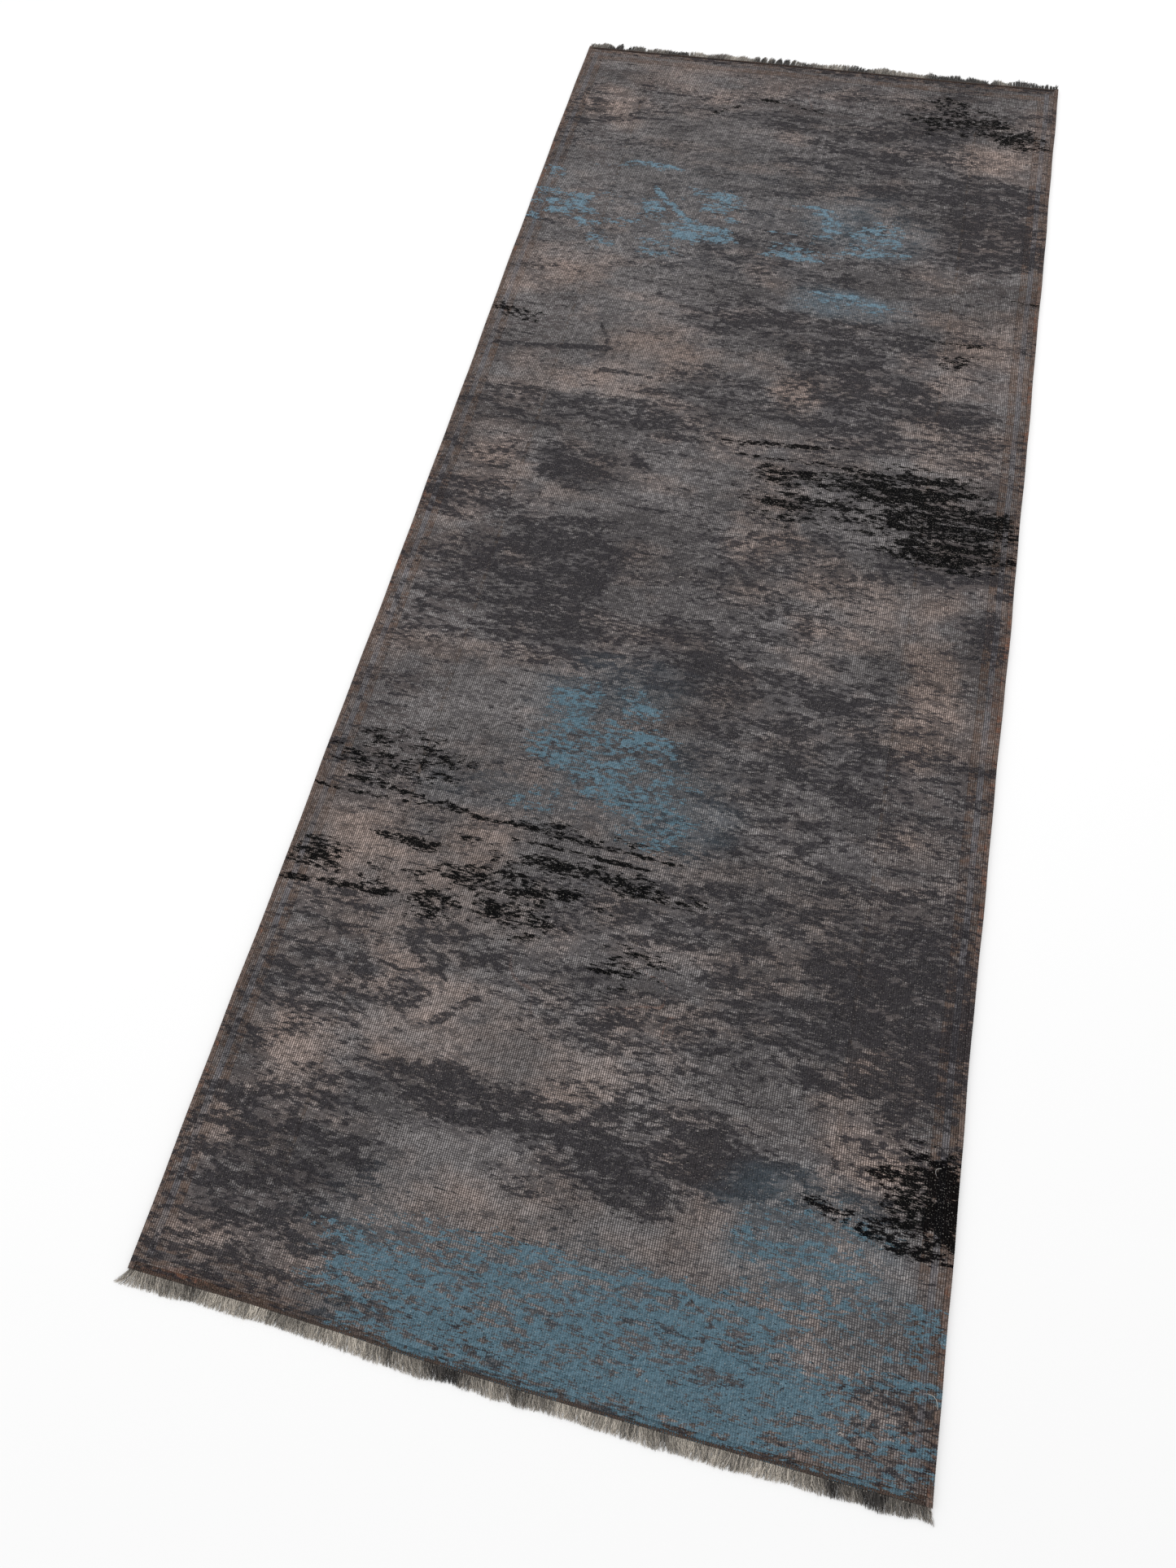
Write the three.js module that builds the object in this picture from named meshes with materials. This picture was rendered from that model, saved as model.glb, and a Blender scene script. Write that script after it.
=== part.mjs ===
// Hand-knotted runner rug, lying flat, built up in the layers it is woven in.
// Millimetres, +Z up, +Y towards the far end, origin under the middle of the rug.
//
// The warps run along Y. Across them lie a woven foundation, a short sheared
// pile knotted on its top, flat-woven kilim bands at both ends, a locking row of
// stitches over each kilim band, and the cut warp ends as fringe. The long sides
// are closed by a selvedge: a bundle of outer warps, overcast with yarn.

import * as THREE from 'three';

// Overall size
const WIDTH = 800;
const LENGTH = 2000;

// Ends, from the tips of the fringe inwards
const FRINGE_NEAR = 13;
const FRINGE_FAR = 14;
const FRINGE_THICKNESS = 2.2;
const FRINGE_SIDE_INSET = 2;
const FRINGE_HEAD = 5;
const TASSEL_PITCH = 12;
const TASSEL_GAP = 3;
const KILIM_BAND = 8;
const KILIM_THICKNESS = 2.2;
const LOCK_STITCH_WIDTH = 3;
const LOCK_STITCH_THICKNESS = 1.1;

// Body thickness
const FOUNDATION_THICKNESS = 2.6;
const PILE_HEIGHT = 2.1;

// Selvedge: an oval overcast sleeve round an oval bundle of warps
const SELVEDGE_WIDTH = 7;
const SELVEDGE_HEIGHT = 4.4;
const OVERCAST_WALL = 0.9;
const OVAL_SIDES = 20;

// Bands of coloured pile round the field, from the selvedge inwards
const OUTER_GUARD = 7;
const PALE_LINE = 7;
const INNER_GUARD = 10;
const MAIN_BORDER = 90;
const INNER_LINE = 4;

// Gap that every piece keeps to the next
const CLEARANCE = 0.3;

// Yarn colours and finish
const wool = (color) => new THREE.MeshStandardMaterial({ color, roughness: 0.95, metalness: 0 });
const YARN = {
  foundation: wool(0x8d8784),
  field: wool(0x575555),
  border: wool(0x56514f),
  guard: wool(0x51433c),
  paleLine: wool(0x7e868c),
  overcast: wool(0x6b6259),
  core: wool(0xa39c92),
  kilim: wool(0x4d4039),
  lockStitch: wool(0x2e2b2b),
  fringe: wool(0x9a9188),
};

const rug = new THREE.Group();

function add(name, geometry, material, x, y, z) {
  const mesh = new THREE.Mesh(geometry, material);
  mesh.name = name;
  mesh.position.set(x, y, z);
  rug.add(mesh);
  return mesh;
}

// A flat slab between two corners in plan, from z up through its thickness.
function slab(name, material, plan, z, thickness) {
  const { left, right, near, far } = plan;
  const geometry = new THREE.BoxGeometry(right - left, far - near, thickness);
  return add(name, geometry, material, (left + right) / 2, (near + far) / 2, z + thickness / 2);
}

// A plan rectangle pulled in by the same amount on all sides.
const inset = (plan, by) => ({
  left: plan.left + by,
  right: plan.right - by,
  near: plan.near + by,
  far: plan.far - by,
});

// Plan of the woven body, between the two fringes
const body = {
  left: -WIDTH / 2,
  right: WIDTH / 2,
  near: -LENGTH / 2 + FRINGE_NEAR,
  far: LENGTH / 2 - FRINGE_FAR,
};

// Between the two selvedges
const sideInset = SELVEDGE_WIDTH + CLEARANCE;
const woven = { ...body, left: body.left + sideInset, right: body.right - sideInset };
const pileInset = KILIM_BAND + CLEARANCE;
const knotted = { ...woven, near: woven.near + pileInset, far: woven.far - pileInset };

// Foundation
slab('foundation_cloth', YARN.foundation, knotted, 0, FOUNDATION_THICKNESS);

// Pile: bands laid round the field like picture frames, sides running full length
const pileBase = FOUNDATION_THICKNESS + CLEARANCE;

function pileBand(name, material, plan, width) {
  const bars = {
    left: { ...plan, right: plan.left + width },
    right: { ...plan, left: plan.right - width },
    near: { ...plan, far: plan.near + width },
    far: { ...plan, near: plan.far - width },
  };
  for (const end of ['near', 'far']) {
    bars[end].left += width + CLEARANCE;
    bars[end].right -= width + CLEARANCE;
  }
  for (const [side, bar] of Object.entries(bars)) {
    slab(`${name}_${side}`, material, bar, pileBase, PILE_HEIGHT);
  }
  return inset(plan, width + CLEARANCE);
}

let pilePlan = knotted;
pilePlan = pileBand('outer_guard', YARN.guard, pilePlan, OUTER_GUARD);
pilePlan = pileBand('pale_line', YARN.paleLine, pilePlan, PALE_LINE);
pilePlan = pileBand('inner_guard', YARN.guard, pilePlan, INNER_GUARD);
pilePlan = pileBand('main_border', YARN.border, pilePlan, MAIN_BORDER);
pilePlan = pileBand('inner_line', YARN.guard, pilePlan, INNER_LINE);
slab('field_pile', YARN.field, pilePlan, pileBase, PILE_HEIGHT);

// Selvedges
function oval(width, height) {
  const points = [];
  for (let i = 0; i < OVAL_SIDES; i += 1) {
    const angle = (i / OVAL_SIDES) * 2 * Math.PI;
    points.push(new THREE.Vector2((Math.cos(angle) * width) / 2, (Math.sin(angle) * height) / 2));
  }
  return points;
}

// A section in the XZ plane, extruded along Y over the length of the body.
function alongBody(name, material, section, x, z) {
  const depth = body.far - body.near;
  const geometry = new THREE.ExtrudeGeometry(section, { depth, bevelEnabled: false });
  geometry.rotateX(Math.PI / 2);
  add(name, geometry, material, x, body.far, z);
}

const sleeveWidth = SELVEDGE_WIDTH - 2 * OVERCAST_WALL;
const sleeveHeight = SELVEDGE_HEIGHT - 2 * OVERCAST_WALL;

for (const [side, sign] of [['left', -1], ['right', 1]]) {
  const x = sign * (WIDTH / 2 - SELVEDGE_WIDTH / 2);
  const z = SELVEDGE_HEIGHT / 2;
  const wrap = new THREE.Shape(oval(SELVEDGE_WIDTH, SELVEDGE_HEIGHT));
  wrap.holes.push(new THREE.Path(oval(sleeveWidth, sleeveHeight)));
  alongBody(`overcast_wrap_${side}`, YARN.overcast, wrap, x, z);
  const core = new THREE.Shape(oval(sleeveWidth - 2 * CLEARANCE, sleeveHeight - 2 * CLEARANCE));
  alongBody(`selvedge_core_${side}`, YARN.core, core, x, z);
}

// Fringe: a comb of warp ends, its head against the kilim band. The outline is
// drawn with the head along y = 0 and the tassels hanging towards -y.
function fringe(reach) {
  const span = WIDTH - 2 * FRINGE_SIDE_INSET;
  const count = Math.max(1, Math.round(span / TASSEL_PITCH));
  const pitch = span / count;
  const halfGap = TASSEL_GAP / 2;
  const shape = new THREE.Shape();
  shape.moveTo(-span / 2, 0);
  for (let i = 0; i < count; i += 1) {
    const start = -span / 2 + i * pitch;
    shape.lineTo(start + (i === 0 ? 0 : halfGap), -FRINGE_HEAD);
    shape.lineTo(start + halfGap, -reach);
    shape.lineTo(start + pitch - halfGap, -reach);
    shape.lineTo(start + pitch - (i === count - 1 ? 0 : halfGap), -FRINGE_HEAD);
  }
  shape.lineTo(span / 2, 0);
  return new THREE.ExtrudeGeometry(shape, { depth: FRINGE_THICKNESS, bevelEnabled: false });
}

// Both ends: kilim band, locking stitches on its outer edge, then the fringe
const ends = [
  { end: 'near', sign: -1, edge: body.near, fringeLength: FRINGE_NEAR },
  { end: 'far', sign: 1, edge: body.far, fringeLength: FRINGE_FAR },
];

for (const { end, sign, edge, fringeLength } of ends) {
  const strip = (width) => ({
    left: woven.left,
    right: woven.right,
    near: Math.min(edge, edge - sign * width),
    far: Math.max(edge, edge - sign * width),
  });
  slab(`kilim_band_${end}`, YARN.kilim, strip(KILIM_BAND), 0, KILIM_THICKNESS);
  const stitchBase = KILIM_THICKNESS + CLEARANCE;
  slab(`lock_stitch_${end}`, YARN.lockStitch, strip(LOCK_STITCH_WIDTH), stitchBase, LOCK_STITCH_THICKNESS);

  const comb = fringe(fringeLength - CLEARANCE);
  if (sign > 0) comb.rotateZ(Math.PI);
  add(`fringe_${end}`, comb, YARN.fringe, 0, edge + sign * CLEARANCE, 0);
}

export default rug;
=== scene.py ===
import math
from functools import partial

import bmesh
import bpy
import numpy as np
from bpy.props import FloatProperty, FloatVectorProperty, PointerProperty
from mathutils import Matrix, Vector


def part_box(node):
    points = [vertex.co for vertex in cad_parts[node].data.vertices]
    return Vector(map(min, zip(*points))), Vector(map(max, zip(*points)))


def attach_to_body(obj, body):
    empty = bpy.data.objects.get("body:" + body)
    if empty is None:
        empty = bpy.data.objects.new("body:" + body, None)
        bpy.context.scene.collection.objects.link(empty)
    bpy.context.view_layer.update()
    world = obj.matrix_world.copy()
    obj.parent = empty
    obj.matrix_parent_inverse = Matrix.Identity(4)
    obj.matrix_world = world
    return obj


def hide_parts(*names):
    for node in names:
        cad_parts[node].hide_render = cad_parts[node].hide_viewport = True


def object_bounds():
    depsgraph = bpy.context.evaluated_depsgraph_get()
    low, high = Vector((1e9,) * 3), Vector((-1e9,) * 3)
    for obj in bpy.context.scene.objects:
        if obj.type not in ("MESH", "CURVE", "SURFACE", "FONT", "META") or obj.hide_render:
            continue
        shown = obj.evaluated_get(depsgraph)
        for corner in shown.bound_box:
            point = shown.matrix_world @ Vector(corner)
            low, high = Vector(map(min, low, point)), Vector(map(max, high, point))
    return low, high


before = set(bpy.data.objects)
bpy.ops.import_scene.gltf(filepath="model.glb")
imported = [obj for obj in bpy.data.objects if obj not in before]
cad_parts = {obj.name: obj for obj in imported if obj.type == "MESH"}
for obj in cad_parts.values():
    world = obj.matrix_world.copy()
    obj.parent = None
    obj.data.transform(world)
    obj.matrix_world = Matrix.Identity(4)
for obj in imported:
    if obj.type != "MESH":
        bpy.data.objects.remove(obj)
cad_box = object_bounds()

bl_info = {
    "name": "Runner Rug",
    "version": (1, 0, 0),
    "blender": (4, 5, 0),
    "location": "3D View > Sidebar > Rug",
    "description": "Builds a hand-knotted, over-dyed runner rug with its ends and selvedges",
    "category": "Object",
}

MM = 0.001
BODY = "root"
FIELD_LENGTHS = 4  # the field's pile is made in so many lengths, to keep each piece light
KNOT_WIDE, KNOT_HIGH = 2.5, 2.1  # one knot of the pile, in millimetres


def linear(value):
    """One channel of a dye card's colour, from 0 to 255, made linear."""
    share = value / 255
    return share / 12.92 if share <= 0.04045 else ((share + 0.055) / 1.055) ** 2.4


# ---- Settings that a user would change ----

def length(name, description, default, least=0.0):
    return FloatProperty(name=name, description=description, default=default, min=least, unit="LENGTH")


def turn(name, description, degrees):
    default = math.radians(degrees)
    return FloatProperty(name=name, description=description, default=default, unit="ROTATION")


def dye(name, description, *card):
    default = [linear(value) for value in card]
    return FloatVectorProperty(
        name=name, description=description, default=default, size=3, min=0, max=1, subtype="COLOR"
    )


class RugWeave(bpy.types.PropertyGroup):
    """Sizes of the weave, the pile and the edges."""

    warp_pitch: length("Warp pitch", "Distance from one warp to the next", KNOT_WIDE * MM)
    weft_pitch: length("Weft pitch", "Distance from one row of knots to the next", KNOT_HIGH * MM)
    worn_drop: length("Worn drop", "How far bare ground lies under full pile", 1.2 * MM)
    knot_grain: length("Knot grain", "Unevenness from one knot to the next", 0.22 * MM)
    rib_relief: length("Rib relief", "Depth of the grooves between the ribs of the edge", 0.45 * MM)
    yarn_relief: length("Yarn relief", "Height of the bared warps and wefts", 0.35 * MM)
    wrap_pitch: length("Overcast pitch", "Distance from one overcast turn to the next", 2.4 * MM)
    wrap_relief: length("Overcast relief", "Depth of the grooves between the turns", 0.30 * MM)
    strand_radius: length("Fringe strand", "Radius of a fringe strand at its root", 0.46 * MM)
    strand_pitch: length("Fringe pitch", "Distance along the end for one strand", 0.40 * MM)
    stitch_pitch: length("Stitch pitch", "Distance from one locking stitch to the next", 2.5 * MM)


class RugDyes(bpy.types.PropertyGroup):
    """Colours of the yarns and of the over-dye."""

    gap: dye("Gap", "Shade between the bared yarns", 46, 43, 43)
    warm_gap: dye("Warm gap", "Shade between the yarns where the old ground shows", 60, 51, 47)
    warp: dye("Warp", "Bared warp yarn, greyed by the over-dye", 144, 140, 140)
    warm_warp: dye("Warm warp", "Bared yarn where the old ground shows", 180, 161, 152)
    rust: dye("Rust", "Rust red left from the old pattern", 120, 84, 68)
    field: dye("Field pile", "Sheared pile of the field", 87, 84, 85)
    border: dye("Border pile", "Sheared pile of the main border", 89, 84, 84)
    guard: dye("Guard pile", "Brown pile of the guard lines", 98, 84, 77)
    inner_line: dye("Inner line pile", "Faded pile of the line round the field", 86, 78, 74)
    pale: dye("Pale pile", "Grey-blue pile of the pale line", 104, 101, 104)
    warm_pile: dye("Warm pile", "Pile where the old ground shows", 112, 99, 93)
    charcoal: dye("Charcoal", "Dense dark grey dye", 50, 48, 51)
    jet: dye("Jet", "Black dye", 7, 7, 8)
    slate: dye("Slate blue", "Blue dye", 107, 133, 148)
    deep_slate: dye("Deep slate", "Blue dye where it is thick", 87, 113, 126)
    # Painted shade: the dark rim round each patch of blue stands for the shadow beside its raised dyed pile
    rim_shade: dye("Dye rim", "Dark brown rim of a patch of blue", 68, 54, 48)
    overcast: dye("Overcast", "Yarn round the selvedges", 114, 99, 92)
    kilim: dye("Kilim", "Flat-woven ends", 84, 69, 61)
    stitch: dye("Lock stitch", "Locking stitches at the ends", 60, 54, 51)
    fringe: dye("Fringe", "Cut warp ends", 184, 176, 165)
    fringe_shade: dye("Fringe shade", "Cut warp ends where the dye caught them", 68, 65, 63)
    cotton: dye("Cotton", "Undyed thread", 214, 208, 198)
    underside: dye("Underside", "Backs of the knots", 100, 93, 90)


class RugStudio(bpy.types.PropertyGroup):
    """Settings of the camera."""

    lens: FloatProperty(name="Lens", description="Focal length", default=20.43, min=5, unit="CAMERA")
    distance: length("Distance", "From the camera to the point it aims at", 1.0701)
    azimuth: turn("Azimuth", "Turn of the camera round the rug", 20.905)
    elevation: turn("Elevation", "Angle of the camera above the floor", 68.637)
    roll: turn("Roll", "Turn of the camera about its line of sight", -7.742)
    aim_across: length("Aim across", "Where the camera aims, right of the middle", -0.0681, -2)
    aim_along: length("Aim along", "Where the camera aims, beyond the middle", -0.3742, -2)


# ---- Plan of the rug, in millimetres: across from the left side, down from the far end ----

plan_low, plan_high = cad_box
WIDTH = (plan_high.x - plan_low.x) / MM
LENGTH = (plan_high.y - plan_low.y) / MM


def to_plan(points):
    """Across and down, in millimetres, of points in metres."""
    return (points[:, 0] - plan_low.x) / MM, (plan_high.y - points[:, 1]) / MM


COLUMN_PRIME, ROW_PRIME, SEED_FACTOR, LAST_FACTOR = 374761393, 668265263, 974634777, 1274126177
BITS_32, BITS_16 = 0xFFFFFFFF, 0xFFFF


def lattice(column, row, seed):
    """A fixed random number from 0 to 1 for each cell of a grid, from well-stirred bits."""
    mixed = (column * COLUMN_PRIME + row * ROW_PRIME + seed * SEED_FACTOR) & BITS_32
    mixed = ((mixed ^ (mixed >> 13)) * LAST_FACTOR) & BITS_32
    return ((mixed ^ (mixed >> 16)) & BITS_16) / BITS_16


def ease(values, low, high):
    """0 below low, 1 above high, and smooth between."""
    share = np.clip((values - low) / (high - low), 0, 1)
    return share * share * (3 - 2 * share)


OCTAVE_SHIFT, OCTAVE_SEED = (17.3, 5.7), 101  # keep the octaves of one cloud apart
ONE_OCTAVE_SPREAD = 0.19


def cloud(across, down, cell_across, cell_down, seed, octaves=3, rough=0.6):
    """Smooth noise with a spread of about 1, in cells of that many millimetres."""
    total = np.zeros(len(across))
    weight, power = 1.0, 0.0
    for octave in range(octaves):
        u = across / cell_across * 2**octave + OCTAVE_SHIFT[0] * octave
        v = down / cell_down * 2**octave + OCTAVE_SHIFT[1] * octave
        column, row = np.floor(u).astype(np.int64), np.floor(v).astype(np.int64)
        fu, fv = u - column, v - row
        fu, fv = fu * fu * (3 - 2 * fu), fv * fv * (3 - 2 * fv)
        far, near = (
            lattice(column, line, seed + OCTAVE_SEED * octave) * (1 - fu)
            + lattice(column + 1, line, seed + OCTAVE_SEED * octave) * fu
            for line in (row, row + 1)
        )
        total += weight * (far * (1 - fv) + near * fv - 0.5)
        power += weight**2
        weight *= rough
    return total / (ONE_OCTAVE_SPREAD * power**0.5)


# Patches of dye and wear: (left, right, far, near, strength)
SLATE = (
    (4, 42, 323, 345, 0.48), (2, 124, 375, 396, 0.46), (40, 92, 392, 436, 0.44),
    (82, 110, 438, 460, 0.55), (102, 184, 432, 447, 0.36), (116, 210, 298, 314, 0.36),
    (4, 30, 395, 460, 0.36), (248, 273, 344, 377, 0.40), (284, 332, 348, 396, 0.46),
    (236, 320, 424, 462, 0.64), (180, 216, 386, 440, 0.34), (184, 264, 472, 510, 0.28),
    (112, 141, 466, 500, 0.32), (398, 464, 362, 372, 0.48), (448, 478, 372, 424, 0.52),
    (394, 484, 446, 475, 0.62), (515, 592, 384, 428, 0.44), (507, 597, 437, 448, 0.56),
    (472, 597, 536, 558, 0.46), (256, 306, 1262, 1312, 0.64), (276, 310, 1248, 1300, 0.52),
    (334, 400, 1258, 1286, 0.42), (338, 406, 1294, 1324, 0.68), (256, 392, 1314, 1362, 0.52),
    (326, 450, 1346, 1402, 0.56), (262, 320, 1388, 1430, 0.34), (390, 447, 1396, 1440, 0.38),
    (214, 450, 1884, 1986, 0.70), (352, 616, 1864, 1928, 0.76), (374, 720, 1904, 1986, 0.84),
    (524, 636, 1860, 1900, 0.72), (714, 802, 1942, 1980, 0.40), (733, 802, 1884, 1912, 0.42),
    (756, 806, 1842, 1876, 0.62), (600, 700, 1800, 1826, 0.50), (596, 728, 1765, 1830, 0.34),
    (626, 740, 1840, 1900, 0.36), (690, 802, 1912, 1945, 0.20),
)
WASH = (
    (460, 600, 326, 440, 0.22), (466, 600, 528, 578, 0.50), (500, 598, 378, 430, 0.36),
    (0, 500, 280, 500, 0.05), (246, 330, 1235, 1322, 0.28), (256, 480, 1306, 1412, 0.16),
    (380, 500, 1370, 1444, 0.26), (224, 630, 1868, 1990, 0.28), (580, 745, 1756, 1852, 0.40),
    (600, 740, 1836, 1990, 0.10), (190, 300, 1850, 1990, 0.30), (140, 280, 1396, 1440, 0.16),
    (280, 420, 1210, 1260, 0.25),
)
JET = (
    (586, 676, 78, 146, 0.50), (670, 728, 90, 140, 0.50), (733, 770, 130, 162, 0.72),
    (440, 566, 868, 896, 0.76), (434, 588, 905, 932, 0.64), (460, 590, 932, 958, 0.42),
    (570, 728, 838, 898, 0.84), (618, 794, 898, 942, 0.96), (634, 784, 934, 982, 0.80),
    (752, 800, 884, 926, 0.90), (34, 170, 1366, 1420, 0.38), (38, 108, 1390, 1412, 0.56),
    (100, 192, 1474, 1494, 0.78), (186, 232, 1474, 1486, 0.50), (270, 470, 1480, 1503, 0.54),
    (16, 74, 1514, 1546, 0.68), (144, 358, 1511, 1534, 0.54), (244, 330, 1518, 1570, 0.58),
    (160, 220, 1532, 1576, 0.36), (96, 128, 1536, 1562, 0.56), (736, 806, 1694, 1778, 0.74),
    (764, 806, 1700, 1776, 1.15), (660, 806, 1756, 1776, 0.42), (666, 722, 624, 650, 0.34),
    (14, 84, 640, 662, 0.46), (250, 450, 1432, 1454, 0.32), (400, 470, 1560, 1600, 0.30),
)
CHARCOAL = (
    (564, 660, 86, 186, 0.52), (335, 448, 136, 188, 0.46), (440, 668, 152, 248, 0.58),
    (416, 802, 248, 268, 0.56), (522, 640, 280, 320, 0.62), (618, 804, 266, 348, 0.74),
    (646, 790, 332, 430, 0.88), (622, 804, 424, 452, 0.56), (14, 76, 116, 240, 0.42),
    (56, 112, 202, 220, 0.56), (306, 494, 420, 508, 0.46), (316, 576, 578, 660, 0.54),
    (400, 652, 576, 640, 0.46), (468, 650, 636, 752, 0.70), (512, 650, 664, 742, 0.88),
    (614, 750, 712, 754, 0.84), (300, 584, 726, 792, 0.42), (486, 630, 746, 816, 0.68),
    (6, 376, 790, 840, 0.46), (496, 604, 956, 1008, 0.48), (622, 798, 956, 1020, 0.74),
    (520, 666, 1008, 1024, 0.58), (152, 248, 892, 952, 0.78), (265, 294, 884, 910, 0.90),
    (4, 130, 965, 1020, 0.70), (144, 292, 1012, 1052, 0.70), (92, 292, 1030, 1134, 0.84),
    (256, 306, 1066, 1124, 1.20), (152, 306, 1120, 1216, 0.84), (14, 156, 1092, 1142, 0.52),
    (14, 180, 1150, 1168, 0.50), (14, 130, 1192, 1216, 0.62), (306, 494, 1128, 1188, 0.62),
    (302, 676, 1184, 1238, 0.66), (456, 556, 1114, 1126, 0.50), (378, 430, 1220, 1238, 0.80),
    (632, 694, 1164, 1188, 0.50), (750, 800, 1046, 1126, 0.72), (424, 794, 1230, 1345, 0.52),
    (470, 640, 1340, 1430, 0.46), (696, 768, 1302, 1344, 0.46), (470, 676, 1464, 1524, 0.60),
    (610, 804, 1426, 1504, 0.62), (624, 806, 1492, 1642, 0.94), (524, 652, 1546, 1604, 0.58),
    (646, 806, 1600, 1642, 0.92), (576, 700, 1610, 1624, 0.56), (696, 806, 1626, 1700, 0.60),
    (392, 488, 1624, 1640, 0.60), (216, 300, 1580, 1620, 0.62), (166, 224, 1578, 1640, 0.60),
    (170, 212, 1648, 1674, 0.74), (20, 142, 1572, 1640, 0.40), (14, 166, 1634, 1714, 0.52),
    (10, 84, 1722, 1772, 0.40), (156, 416, 1732, 1778, 0.68), (402, 630, 1712, 1778, 0.82),
    (516, 624, 1718, 1768, 1.10), (320, 580, 1580, 1690, 0.32), (330, 520, 1494, 1560, 0.42),
    (400, 620, 930, 1130, 0.32), (650, 800, 756, 838, 0.34), (4, 150, 900, 945, 0.36),
    (490, 640, 340, 440, 0.30), (400, 640, 490, 540, 0.34), (14, 90, 1140, 1230, 0.42),
    (400, 480, 1390, 1440, 0.36), (380, 500, 50, 100, 0.32), (442, 512, 1786, 1814, 0.68),
    (372, 538, 1774, 1822, 0.48), (6, 176, 1772, 1824, 0.62), (10, 196, 1790, 1892, 0.64),
    (14, 196, 1876, 1932, 0.54), (2, 152, 1926, 1988, 0.46), (640, 790, 1720, 1770, 0.40),
    (120, 260, 1950, 1988, 0.40), (730, 806, 1890, 1990, 0.46), (0, 800, 4, 30, 0.50),
)
WARM = (
    (110, 268, 38, 116, 0.60), (14, 124, 114, 212, 0.46), (668, 786, 164, 230, 0.74),
    (732, 792, 70, 128, 0.55), (24, 128, 510, 600, 0.52), (124, 184, 514, 584, 0.60),
    (668, 784, 520, 630, 0.74), (170, 306, 660, 798, 0.72), (56, 174, 714, 798, 0.60),
    (432, 494, 696, 752, 0.72), (668, 784, 746, 826, 0.62), (672, 730, 646, 702, 0.60),
    (32, 128, 892, 980, 0.66), (432, 530, 938, 1008, 0.66), (14, 102, 1020, 1120, 0.62),
    (532, 684, 1016, 1124, 0.54), (678, 738, 1038, 1212, 0.74), (14, 266, 1206, 1248, 0.52),
    (682, 738, 1178, 1280, 0.62), (6, 248, 1440, 1560, 0.56), (132, 276, 1536, 1700, 0.58),
    (42, 144, 1704, 1778, 0.70), (668, 702, 1612, 1650, 0.95), (668, 758, 1612, 1732, 0.55),
    (674, 702, 1682, 1888, 0.60), (410, 516, 1590, 1640, 0.40), (668, 766, 1344, 1432, 0.44),
    (22, 52, 1808, 1878, 0.70), (22, 98, 1926, 1964, 0.66), (246, 520, 1656, 1746, 0.42),
    (254, 640, 1816, 1886, 0.46), (640, 760, 1880, 1990, 0.50), (160, 266, 1690, 1746, 0.62),
    (0, 800, 1978, 2000, 0.50), (200, 470, 1896, 1990, 0.60), (480, 640, 1950, 1990, 0.60),
    (368, 408, 1910, 1966, 0.60),
)
BARE = (
    (246, 516, 1654, 1746, 0.80), (250, 650, 1800, 1886, 0.90), (40, 146, 1702, 1776, 0.45),
    (160, 268, 1686, 1746, 0.90), (636, 756, 1830, 1994, 0.70), (6, 250, 1466, 1562, 0.66),
    (130, 290, 1536, 1700, 0.72), (300, 560, 1520, 1600, 0.15), (168, 306, 660, 798, 0.70),
    (60, 172, 716, 796, 0.50), (668, 784, 746, 826, 0.35), (434, 492, 698, 750, 0.55),
    (530, 684, 1018, 1124, 0.25), (110, 266, 40, 112, 0.45), (124, 184, 514, 584, 0.60),
    (572, 676, 738, 800, 0.50), (372, 536, 810, 836, 0.50), (432, 530, 938, 1008, 0.50),
    (170, 242, 940, 1018, 0.50), (122, 266, 1226, 1350, 0.45), (668, 702, 1612, 1650, 0.80),
    (672, 740, 1040, 1280, 0.20), (583, 624, 896, 932, 0.80), (640, 702, 1934, 1962, 0.90),
    (368, 408, 1910, 1966, 0.70), (670, 740, 1650, 1830, 0.45), (22, 98, 1926, 1964, 0.70),
    (22, 52, 1808, 1878, 0.60), (0, 300, 250, 430, 0.28), (240, 500, 262, 345, 0.32),
    (0, 240, 430, 720, 0.38),
)
# Single strokes: (from across, from down, to across, to down, thickness, strength)
SLATE_STROKES = (
    (206, 366, 264, 426, 9, 0.85), (395, 419, 452, 421, 5, 0.55), (560, 438, 600, 436, 5, 0.7),
)
JET_STROKES = (
    (367, 840, 548, 817, 6, 0.74), (426, 852, 574, 849, 5, 0.58), (50, 1428, 200, 1444, 7, 0.90),
    (6, 1446, 300, 1445, 4, 0.62), (264, 1464, 420, 1465, 4, 0.90), (6, 1565, 130, 1557, 7, 0.80),
    (280, 1448, 440, 1450, 6, 0.66), (660, 600, 716, 598, 5, 0.62), (760, 500, 800, 505, 4, 0.50),
    (340, 118, 420, 128, 7, 0.45), (255, 150, 275, 140, 7, 0.60), (640, 70, 700, 96, 9, 0.55),
)
CHARCOAL_STROKES = (
    (20, 206, 170, 190, 6, 0.62), (120, 106, 240, 108, 4, 0.5), (560, 1436, 800, 1426, 5, 0.6),
    (216, 1690, 264, 1656, 9, 0.80), (200, 1560, 226, 1640, 7, 0.80), (232, 1580, 276, 1606, 8, 0.85),
    (440, 1732, 500, 1712, 8, 0.75), (500, 1712, 560, 1704, 7, 0.65), (576, 1618, 710, 1622, 7, 0.7),
    (172, 650, 190, 700, 5, 0.4), (196, 736, 280, 742, 6, 0.6), (30, 716, 180, 700, 8, 0.62),
    (240, 838, 330, 842, 6, 0.6), (280, 874, 340, 868, 5, 0.62), (40, 854, 150, 852, 6, 0.62),
)
SCROLL = (
    (320, 420, 44, 140, 0.8), (430, 540, 40, 130, 0.6), (20, 120, 50, 240, 0.5),
    (410, 516, 1560, 1650, 1.0), (240, 340, 1590, 1700, 0.7), (20, 130, 1290, 1372, 0.6),
    (340, 480, 1830, 1890, 0.6), (260, 350, 1100, 1160, 0.3), (120, 300, 1540, 1700, 0.4),
)

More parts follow.
